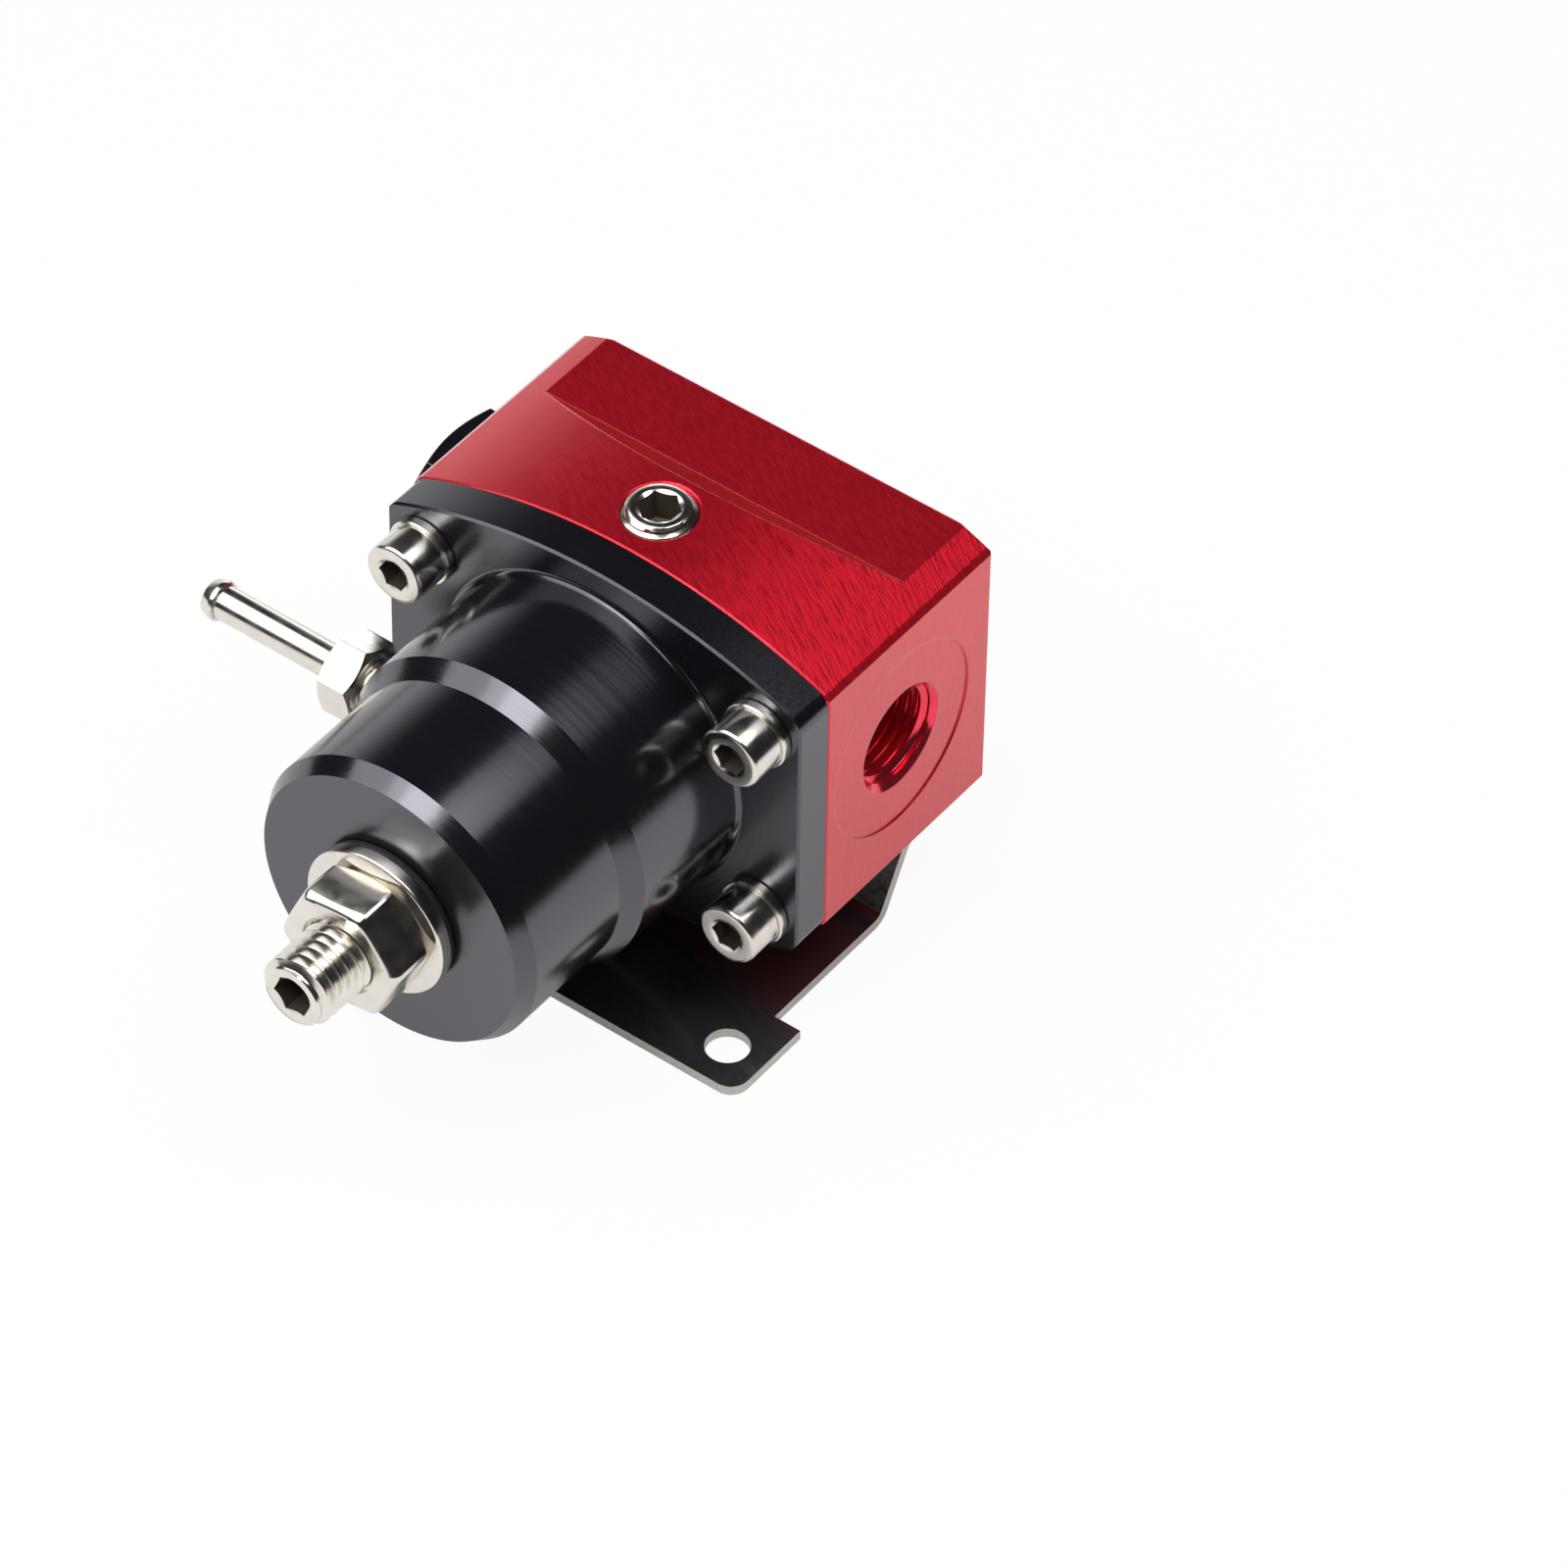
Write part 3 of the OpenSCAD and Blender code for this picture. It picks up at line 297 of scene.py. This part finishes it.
# Plainer finishes: two colours, grain in mm, roughness from and to, relief in mm
plainLooks = {
    # plated bright: a warm mirror with slight waviness from the plating bath
    "nickel_plate": {"name": "bright_nickel_plate_on_steel", "colours": ("#ece8e0", "#dcd7cd"), "grain": 2.2,
                     "detail": 3.0, "rough": (0.15, 0.26), "relief": 0.002, "settings": {"Metallic": 1.0}},
    # stoved coat: glossy and dark, with a slight ripple
    "black_coat": {"name": "black_stoved_coat_on_sheet_steel", "colours": ("#2b292b", "#383536"), "grain": 0.9,
                   "detail": 2.0, "rough": (0.1, 0.2), "relief": 0.003, "settings": {"IOR": 2.3}},
    # turned and clear plated: pale grey with a soft sheen
    "zinc_steel": {"name": "turned_steel_clear_zinc", "colours": ("#b9bbbd", "#a3a5a8"), "grain": 0.4,
                   "detail": 4.0, "rough": (0.22, 0.36), "relief": 0.004, "settings": {"Metallic": 1.0}},
    # drawn wire: darker grey, a little dull
    "spring_steel": {"name": "drawn_spring_steel_wire", "colours": ("#8c8d90", "#77787b"), "grain": 0.3,
                     "detail": 4.0, "rough": (0.25, 0.4), "relief": 0.004, "settings": {"Metallic": 1.0}},
    # oiled black oxide: dark metal with a low sheen
    "dark_steel": {"name": "black_oxide_steel", "colours": ("#55565a", "#3c3d41"), "grain": 0.5,
                   "detail": 4.0, "rough": (0.22, 0.4), "relief": 0.004, "settings": {"Metallic": 1.0}},
    # turned brass: warm yellow, fairly bright
    "brass": {"name": "turned_brass", "colours": ("#d9b25a", "#c49a48"), "grain": 0.4,
              "detail": 4.0, "rough": (0.2, 0.34), "relief": 0.004, "settings": {"Metallic": 1.0}},
    # moulded rubber: black and matt
    "rubber": {"name": "moulded_fuel_proof_rubber", "colours": ("#19191a", "#222223"), "grain": 0.35,
               "detail": 4.0, "rough": (0.5, 0.7), "relief": 0.004, "settings": {"Metallic": 0.0}},
    # sheared edge: bare bright steel beside the coat
    "bare_edge": {"name": "bare_cut_steel_edge", "colours": ("#d8d5ce", "#b4b1aa"), "grain": 0.35,
                  "detail": 4.0, "rough": (0.25, 0.45), "relief": 0.004, "settings": {"Metallic": 1.0}},
    # broached socket: a dull brownish painted shade, so it reads as a dark hole
    "recess": {"name": "socket_painted_shade", "colours": ("#7a6f63", "#5c534a"), "grain": 0.3,
               "detail": 4.0, "rough": (0.3, 0.45), "relief": 0.004, "settings": {"Metallic": 0.6}},
    # tapped thread: a brighter red than the milled body, painted light so the port's inside reads lit, with a sharp
    # sheen on its flanks
    "cut_thread_painted_light": {"name": "red_anodised_tapped_painted_light", "colours": ("#ff5064", "#f63c52"), "grain": 1.2,
                   "detail": 4.0, "rough": (0.12, 0.18), "relief": 0.004, "settings": {"Metallic": 0.85}},
}
for slotName, look in plainLooks.items():
    material, tree, shader = newMaterial(look["name"], look["settings"])
    where = addNode(tree, "ShaderNodeTexCoord")
    grain = addNode(tree, "ShaderNodeTexNoise", {"Scale": 1 / (look["grain"] * mm), "Detail": look["detail"]},
                    {"Vector": where.outputs["Object"]})
    tint = addNode(tree, "ShaderNodeMix", between(*look["colours"]), {0: grain.outputs["Fac"]})
    gloss = addNode(tree, "ShaderNodeMapRange", fromTo(noiseSpan, look["rough"]), {"Value": grain.outputs["Fac"]})
    relief = addNode(tree, "ShaderNodeBump", {"Strength": 0.5, "Distance": look["relief"] * mm},
                     {"Height": grain.outputs["Fac"]})
    tree.links.new(tint.outputs[2], shader.inputs["Base Color"])
    tree.links.new(gloss.outputs[0], shader.inputs["Roughness"])
    tree.links.new(relief.outputs[0], shader.inputs["Normal"])
    finishes[slotName] = material
print("materials made:", len(finishes))


# turned and threaded meshes are drawn in mm along a local Z axis, then placed
def placed(origin, turn, axis):
    turned = Matrix.Rotation(math.radians(turn), 4, axis) @ Matrix.Scale(mm, 4)
    return Matrix.Translation(Vector(origin) * mm) @ turned


def toFront(origin):
    return placed(origin, 90, "X")


def toRear(origin):
    return placed(origin, -90, "X")


def toLeft(origin):
    return placed(origin, -90, "Y")


def toRight(origin):
    return placed(origin, 90, "Y")


def onCircle(place, radius, angle, height):
    return place @ Vector((radius * math.cos(angle), radius * math.sin(angle), height))


def hexRadius(angle, acrossFlats, turn, corner):    # radius of a hexagon with rounded corners, along an angle
    step = math.radians(60)
    off = abs((angle - math.radians(turn) + step / 2) % step - step / 2)
    centre = (acrossFlats / 2 - corner) / math.cos(step / 2)
    if corner and off < math.atan2(corner * math.sin(step / 2), centre + corner * math.cos(step / 2)):
        return centre * math.cos(off) + math.sqrt(max(corner ** 2 - (centre * math.sin(off)) ** 2, 0))
    return acrossFlats / 2 / math.cos(step / 2 - off)


def joinRows(bm, a, b):                             # a band of faces between two closed rows
    following = [(k, (k + 1) % len(a)) for k in range(len(a))]
    return [bm.faces.new((a[k], a[n], b[n], b[k])) for k, n in following]


def addRings(bm, place, rings, columns, caps=(True, True), recess=0):
    rows, faces = [], []      # the last rows, as many as recess says, take the second finish
    for ring in rings:
        row = []
        for k in range(columns):
            angle = 2 * math.pi * k / columns
            radius, height = ring(angle) if callable(ring) else ring
            row.append(bm.verts.new(onCircle(place, radius, angle, height)))
        rows.append(row)
    for a, b in zip(rows, rows[1:]):
        faces += joinRows(bm, a, b)
    for cap, row in zip(caps, (rows[0], rows[-1])):
        if cap:
            faces.append(bm.faces.new(row))
    if recess:
        for face in faces[-(recess * columns + 1):]:
            face.material_index = 1


def addStrip(bm, rows):                             # closed cross-sections joined along a run, capped at both ends
    for a, b in zip(rows, rows[1:]):
        joinRows(bm, a, b)
    bm.faces.new(rows[0])
    bm.faces.new(rows[-1])


def roundEdge(radius, height, size, start, end, steps=5):   # an arc about a centre, angles in degrees
    angles = [math.radians(start + (end - start) * i / steps) for i in range(steps + 1)]
    return [(radius + size * math.cos(a), height + size * math.sin(a)) for a in angles]


hexSlope = math.tan(math.radians(30))               # chamfer of hex faces and sockets
hexFace = 0.47                                      # radius of a hex's flat face, as a share of its width
socketShape = {"margin": 0.1, "lip": 0.12, "ease": 0.03, "tip": 0.2, "tipDepth": 0.4}


def socketRings(acrossFlats, top, depth, turn):             # countersunk hex socket, from its rim down
    shape = socketShape
    rim = acrossFlats / 2 / math.cos(math.radians(30)) + shape["margin"]

    def edge(angle):
        radius = hexRadius(angle, acrossFlats, turn, 0)
        return radius, top - (rim - radius) * hexSlope

    def foot(angle):
        return hexRadius(angle, acrossFlats, turn, 0), top - depth

    return [(rim + shape["lip"], top), (rim + shape["ease"], top - shape["ease"]), edge, foot,
            (acrossFlats * shape["tip"], top - depth - shape["tipDepth"])]


# one pitch of a thread from crest to root and back, as shares of pitch and depth
threadProfile = [(0.0, 0.1), (0.03, 0.0), (0.095, 0.0), (0.125, 0.1),
                 (0.41, 0.92), (0.45, 1.0), (0.67, 1.0), (0.71, 0.92)]


def addThread(bm, place, shape, low, high, limit, inside=False):
    # the rows are sheared by one pitch a turn, so that each crest and root follows the helix
    pitch, depth, columns, count = shape["pitch"], shape["depth"], shape["columns"], len(threadProfile)
    rows = []
    for i in range((math.ceil((high - low) / pitch) + 2) * count):
        at, sink = threadProfile[i % count]
        row = []
        for k in range(columns):
            angle = 2 * math.pi * k / columns
            height = min(max(low + pitch * (i // count - 1 + at + k / columns), low), high)
            if inside:
                radius = max(shape["major"] - depth * (1 - sink), limit(height))
            else:
                radius = min(shape["major"] - depth * sink, limit(height))
            row.append((bm.verts.new(onCircle(place, radius, angle, height)), height))
        rows.append(row)
    for i in range(len(rows) - 1):
        for k in range(columns):
            if k + 1 < columns:
                corners = rows[i][k], rows[i][k + 1], rows[i + 1][k + 1], rows[i + 1][k]
            elif i + 1 + count < len(rows):
                corners = rows[i][k], rows[i + count][0], rows[i + 1 + count][0], rows[i + 1][k]
            else:
                continue
            if len({height for vert, height in corners}) > 1:      # none lies flat in an end plane
                bm.faces.new([vert for vert, height in corners])


weld, sliver = 2e-7, 1e-7                           # points and edges closer or shorter than this are merged, in m


def finishPiece(name, bm, slotName, body, replaced=None, sharp=38, second=None):
    bmesh.ops.remove_doubles(bm, verts=bm.verts, dist=weld)
    bmesh.ops.dissolve_degenerate(bm, edges=bm.edges, dist=sliver)
    bmesh.ops.delete(bm, geom=[v for v in bm.verts if not v.link_faces], context="VERTS")
    bmesh.ops.recalc_face_normals(bm, faces=bm.faces)
    mesh = bpy.data.meshes.new(name)
    bm.to_mesh(mesh)
    bm.free()
    mesh.polygons.foreach_set("use_smooth", [True] * len(mesh.polygons))
    mesh.set_sharp_from_angle(angle=math.radians(sharp))
    for finish in [slotName] + ([second] if second else []):
        mesh.materials.append(finishes[finish])
    piece = bpy.data.objects.new(name, mesh)
    scene.collection.objects.link(piece)
    if body:                                        # a piece without a body is left unattached
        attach(piece, body)
    if replaced:
        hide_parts(replaced)
    return piece


# adjusting screw, jam nut and washer
screwSizes = {"major": 5.0, "depth": 0.88, "pitch": 1.5, "length": 30.0, "tipY": -19.4, "chamfer": 0.9, "tip": 1.0,
              "socket": 5.0, "socketDepth": 5.0, "turn": 8, "columns": 90}

s = screwSizes
place = toFront((0, s["tipY"], axisZ))
endRadius = s["major"] - s["chamfer"]
bm = bmesh.new()
addThread(bm, place, s, 0, s["length"], lambda h: endRadius + min(h, s["length"] - h, s["chamfer"]))
addRings(bm, place, [(endRadius, s["length"])] + socketRings(s["socket"], s["length"], s["socketDepth"], s["turn"]),
         s["columns"], (False, True), 2)
addRings(bm, place, [(endRadius, 0), (s["tip"], 0)], s["columns"], (False, True))
finishPiece("adjusting_screw_threaded", bm, "nickel_plate", "adjuster", "adjusting_screw", sharp=50, second="recess")

# crown: inset, drop and fall to the corners of each ring; sink: widening and depth of the countersink
nutSizes = {"acrossFlats": 16.0, "thick": 7.0, "seatY": -33.8, "bore": 5.05, "turn": 6, "corner": 1.1, "gap": 0.02,
            "crown": [(0, 0.95, 0.3), (0.1, 0.66, 0.3), (0.2, 0.45, 0.26), (0.42, 0.2, 0.18), (0.66, 0.05, 0.08),
                      (0.86, 0, 0)],
            "sink": [(0.55, 0), (0.45, 0.06), (0, 0.5)], "columns": 360}

s = nutSizes
place = toFront((0, s["seatY"], axisZ))
face = s["acrossFlats"] * hexFace


def nutRing(inset, height, fall):                   # a ring that follows the hexagon and falls towards its corners
    def ring(angle):
        radius = hexRadius(angle, s["acrossFlats"], s["turn"], s["corner"])
        return radius - inset, height - (radius - s["acrossFlats"] / 2) * fall
    return ring


rings = [(s["bore"], s["gap"]), (face, s["gap"]), nutRing(0, (s["acrossFlats"] / 2 - face) * hexSlope, -hexSlope)]
rings += [nutRing(inset, s["thick"] - drop, fall) for inset, drop, fall in s["crown"]]
rings += [(s["bore"] + wider, s["thick"] - drop) for wider, drop in s["sink"]]
rings += [(s["bore"], s["gap"])]
bm = bmesh.new()
addRings(bm, place, rings, s["columns"], (False, False))
finishPiece("jam_nut_turned", bm, "nickel_plate", "lock_nut", "jam_nut", sharp=24)

washerSizes = {"outer": 10.5, "bore": 5.25, "thick": 2.0, "seatY": -31.8, "edge": 0.35, "ease": 0.15, "columns": 180}

s = washerSizes
place = toFront((0, s["seatY"], axisZ))
bm = bmesh.new()
rings = [(s["bore"], s["ease"]), (s["bore"] + s["ease"], 0)]
rings += roundEdge(s["outer"] - s["edge"], s["edge"], s["edge"], -90, 0)
rings += roundEdge(s["outer"] - s["edge"], s["thick"] - s["edge"], s["edge"], 0, 90)
rings += [(s["bore"] + s["ease"], s["thick"]), (s["bore"], s["thick"] - s["ease"]), (s["bore"], s["ease"])]
addRings(bm, place, rings, s["columns"], (False, False))
finishPiece("nut_washer_pressed", bm, "nickel_plate", "nut_carrier", "nut_washer", sharp=40)
print("adjuster made")


# four cap screws on the flange
capSizes = {"spanX": 26.0, "spanZ": 15.3, "seatY": 7.4, "head": 4.25, "height": 5.0, "edge": 0.6, "ease": 0.15,
            "shank": 2.5, "length": 16.0, "point": 0.4, "socket": 4.0, "socketDepth": 2.6, "columns": 90}

s = capSizes
rings = [(s["shank"] - s["point"], -s["length"]), (s["shank"], s["point"] - s["length"]), (s["shank"], 0),
         (s["head"] - s["ease"], 0), (s["head"], s["ease"])]
rings += roundEdge(s["head"] - s["edge"], s["height"] - s["edge"], s["edge"], 0, 90, 6)
rings += socketRings(s["socket"], s["height"], s["socketDepth"], 0)
bm = bmesh.new()
for x in (-1, 1):
    for z in (-1, 1):
        place = toFront((x * s["spanX"], s["seatY"], axisZ + z * s["spanZ"]))
        addRings(bm, place, rings, s["columns"], recess=2)
finishPiece("cap_screws_headed", bm, "nickel_plate", "housing", "cap_screws", second="recess")


# vacuum nipple: threaded stub, hex and a slim tube with a bead
# collar: radius and height past the hex; bead: radius and height past its foot; mouth: radius and depth from the end
nippleSizes = {"y": -2.0, "stub": 16.5, "hexStart": 25.8, "hexEnd": 31.0, "acrossFlats": 10.0, "turn": 52,
               "corner": 0.2, "reach": 51.9, "beadLength": 2.2, "bore": 1.3, "columns": 180,
               "major": 4.0, "depth": 0.55, "pitch": 1.0, "neck": 3.4, "runOut": 0.6,
               "collar": [(2.85, 0), (2.65, 0.06), (2.42, 0.3), (2.3, 0.6)],
               "bead": [(2.3, 0), (2.36, 0.03), (2.65, 0.2), (2.72, 0.27), (2.75, 0.4), (2.75, 0.75), (2.71, 0.9)],
               "mouth": [(2.4, 0.25), (2.3, 0.08), (2.15, 0), (1.45, 0), (1.3, 0.15)]}

s = nippleSizes
place = toLeft((0, s["y"], axisZ))
face = s["acrossFlats"] * hexFace


def nippleLower(angle):
    radius = hexRadius(angle, s["acrossFlats"], s["turn"], s["corner"])
    return radius, s["hexStart"] + (radius - face) * hexSlope


def nippleUpper(angle):
    radius, height = nippleLower(angle)
    return radius, s["hexEnd"] - (height - s["hexStart"])


beadFoot = s["reach"] - s["beadLength"]
rings = [(s["neck"], s["hexStart"]), (face, s["hexStart"]), nippleLower, nippleUpper, (face, s["hexEnd"])]
rings += [(radius, s["hexEnd"] + height) for radius, height in s["collar"]]
rings += [(radius, beadFoot + height) for radius, height in s["bead"]]
rings += [(radius, s["reach"] - drop) for radius, drop in s["mouth"]]
rings += [(s["bore"], s["stub"]), (s["neck"], s["stub"])]
bm = bmesh.new()
addRings(bm, place, rings, s["columns"], (False, False))
addThread(bm, place, s, s["stub"], s["hexStart"],
          lambda h: s["neck"] + min(h - s["stub"], s["hexStart"] - h, s["runOut"]))
finishPiece("vacuum_nipple_turned", bm, "nickel_plate", "housing", "vacuum_nipple", sharp=24)
print("screws and nipple made")


# gauge plug and the threads cut in the open ports
gaugeSizes = {"y": 22.3, "top": 60.5, "major": 4.85, "depth": 0.45, "pitch": 0.94, "length": 7.5, "edge": 0.9,
              "tip": 1.0, "socket": 5.0, "socketDepth": 4.5, "turn": 20, "columns": 90}

s = gaugeSizes
place = placed((0, s["y"], s["top"]), 0, "Z")
endRadius = s["major"] - s["edge"]
bm = bmesh.new()
addThread(bm, place, s, -s["length"], 0, lambda h: endRadius + min(-h, h + s["length"], s["edge"]))
addRings(bm, place, [(endRadius, 0)] + socketRings(s["socket"], 0, s["socketDepth"], s["turn"]), s["columns"],
         (False, True), 2)
addRings(bm, place, [(endRadius, -s["length"]), (s["tip"], -s["length"])], s["columns"], (False, True))
finishPiece("gauge_plug_threaded", bm, "nickel_plate", "housing", "gauge_port_plug", sharp=50, second="recess")

# outside: radius and height of the wall that closes the thread inside the body
portThread = {"major": 7.14, "depth": 0.75, "pitch": 1.41, "mouth": 7.59, "lip": 0.21, "wall": 7.2,
              "outside": [(7.2, -0.7), (7.62, -0.25)], "columns": 120,
              "ports": [("side_port_thread", toRight((32, 29.8, 34.2)), -13.6),
                        ("return_port_thread", toRear((0, 47.8, axisZ)), -10.6)]}

s = portThread
for name, place, low in s["ports"]:
    bm = bmesh.new()
    addThread(bm, place, s, low, -s["lip"], lambda h: max(s["mouth"] + h + s["lip"], s["wall"] + low - h),
              True)                                 # flared at the mouth, run out at the bottom
    addRings(bm, place, [(s["wall"], low)] + s["outside"] + [(s["mouth"], -s["lip"])], s["columns"], (False, False))
    liner = finishPiece(name, bm, "red_anodised", "housing", sharp=50)
    # the threads take the brighter red, painted light inside the port
    liner.data.materials[0] = finishes["cut_thread_painted_light"]
print("ports threaded")


# the spring is made in two parts: a front part from the button to the housing and a rear part on to the stack
springSizes = {"radius": 10.0, "wire": 2.6, "turns": 6.5, "frontY": -17.35, "length": 30.1, "split": 4.5, "steps": 36,
               "sides": 12}

s = springSizes
place = toRear((0, s["frontY"], axisZ))
pitch = (s["length"] - 2 * s["wire"]) / (s["turns"] - 2)


def coilHeight(turn):                               # a closed turn at each end, even pitch between
    even = s["wire"] + (turn - 1) * pitch
    return min(max(even, turn * s["wire"]), s["length"] - (s["turns"] - turn) * s["wire"])


def coilRow(bm, turn):
    row = []
    for k in range(s["sides"]):
        angle = 2 * math.pi * k / s["sides"]
        radius = s["radius"] + s["wire"] / 2 * math.cos(angle)
        height = coilHeight(turn) + s["wire"] / 2 * math.sin(angle)
        height = min(max(height, 0), s["length"])   # the ends are ground flat
        row.append(bm.verts.new(onCircle(place, radius, 2 * math.pi * turn, height)))
    return row


splitHeight = coilHeight(s["split"])
for name, first, last, bodies, low, high in (
        ("main_spring_front", 0, s["split"], ("spring_seat", "housing"), s["wire"], splitHeight - s["wire"] / 2),
        ("main_spring_rear", s["split"], s["turns"], ("housing", "diaphragm_stack"), splitHeight + s["wire"] / 2,
         s["length"] - s["wire"])):
    count = round((last - first) * s["steps"])
    bm = bmesh.new()
    addStrip(bm, [coilRow(bm, first + (last - first) * i / count) for i in range(count + 1)])
    coil = finishPiece(name, bm, "spring_steel", None, "main_spring")
    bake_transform(coil)

# the diaphragm is made in sectors, each with its roll between the clamped rim and the moving centre
diaphragmSizes = {"faceY": 14.4, "thick": 0.8, "hole": 3.03, "outer": 22.0, "rollAt": 14.9, "roll": 0.6,
                  "still": 15.9, "moving": 13.35, "sectors": 12, "columns": 10}

s = diaphragmSizes
place = toRear((0, s["faceY"], axisZ))
back = s["roll"] + s["thick"]
lean = math.degrees(math.asin(s["thick"] / back))
outline = [(s["hole"], 0)] + roundEdge(s["rollAt"], s["thick"], back, 180 + lean, 360 - lean, 10)
outline += [(s["outer"], 0), (s["outer"], s["thick"])]
outline += roundEdge(s["rollAt"], s["thick"], s["roll"], 360, 180, 8) + [(s["hole"], s["thick"])]
for i in range(s["sectors"]):
    bm = bmesh.new()
    angles = [2 * math.pi * (i + k / s["columns"]) / s["sectors"] for k in range(s["columns"] + 1)]
    addStrip(bm, [[bm.verts.new(onCircle(place, r, angle, y)) for r, y in outline] for angle in angles])
    sector = finishPiece("diaphragm_sector_%02d" % (i + 1), bm, "rubber", None, "diaphragm")
    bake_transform(sector)
print("spring and diaphragm made")


# milled, turned and pressed nodes with their sharp edges broken, as deburring leaves them: piece, width in mm, slot
softEdges = {"body": ("body_milled", 0.2, "red_anodised"),
             "bonnet": ("bonnet_turned", 0.16, "black_anodised"),
             "mounting_bracket": ("bracket_pressed", 0.15, "black_coat"),
             "inlet_port_plug": ("inlet_plug_milled", 0.12, "black_anodised"),
             "bracket_screws": ("bracket_screws_headed", 0.08, "dark_steel")}
deburring = {"weld": 2e-6, "flat": 0.2, "sharp": 18, "shade": 50, "segments": 2}       # m and degrees
bareEdges = {"plateTop": 1.6, "steep": 0.6, "upright": 0.35}        # height in mm, then parts of the normal

for nodeName, (name, width, slotName) in softEdges.items():
    s = deburring
    bm = bmesh.new()
    bm.from_mesh(nodes[nodeName].data)
    bmesh.ops.remove_doubles(bm, verts=bm.verts, dist=s["weld"])
    bmesh.ops.dissolve_limit(bm, angle_limit=math.radians(s["flat"]), verts=bm.verts, edges=bm.edges)
    edges = [e for e in bm.edges if len(e.link_faces) == 2 and e.calc_face_angle() > math.radians(s["sharp"])]
    bmesh.ops.bevel(bm, geom=edges, offset=width * mm, offset_type="OFFSET", segments=s["segments"], profile=0.5,
                    affect="EDGES", clamp_overlap=True)
    piece = finishPiece(name, bm, slotName, "housing", nodeName, sharp=s["shade"])
    even = piece.modifiers.new("even_shading", "WEIGHTED_NORMAL")
    even.keep_sharp = True
    print(name, len(piece.data.polygons), "faces")
    if nodeName == "mounting_bracket":              # the coat is worn off the sheared edges
        s = bareEdges
        piece.data.materials.append(finishes["bare_edge"])
        for face in piece.data.polygons:
            sidewall = abs(face.normal.z) < s["upright"]
            onPlate = face.center.z < s["plateTop"] * mm
            if abs(face.normal.x) > s["steep"] or sidewall and (onPlate or face.normal.y > s["steep"]):
                face.material_index = 1

# nodes whose shape is right keep their solids and take the same finishes
for part in frame["record"]["subparts"]:
    mesh = nodes[part["node"]].data
    mesh.materials.clear()
    mesh.materials.append(finishes[part["material_slot"]])
print("nodes finished")
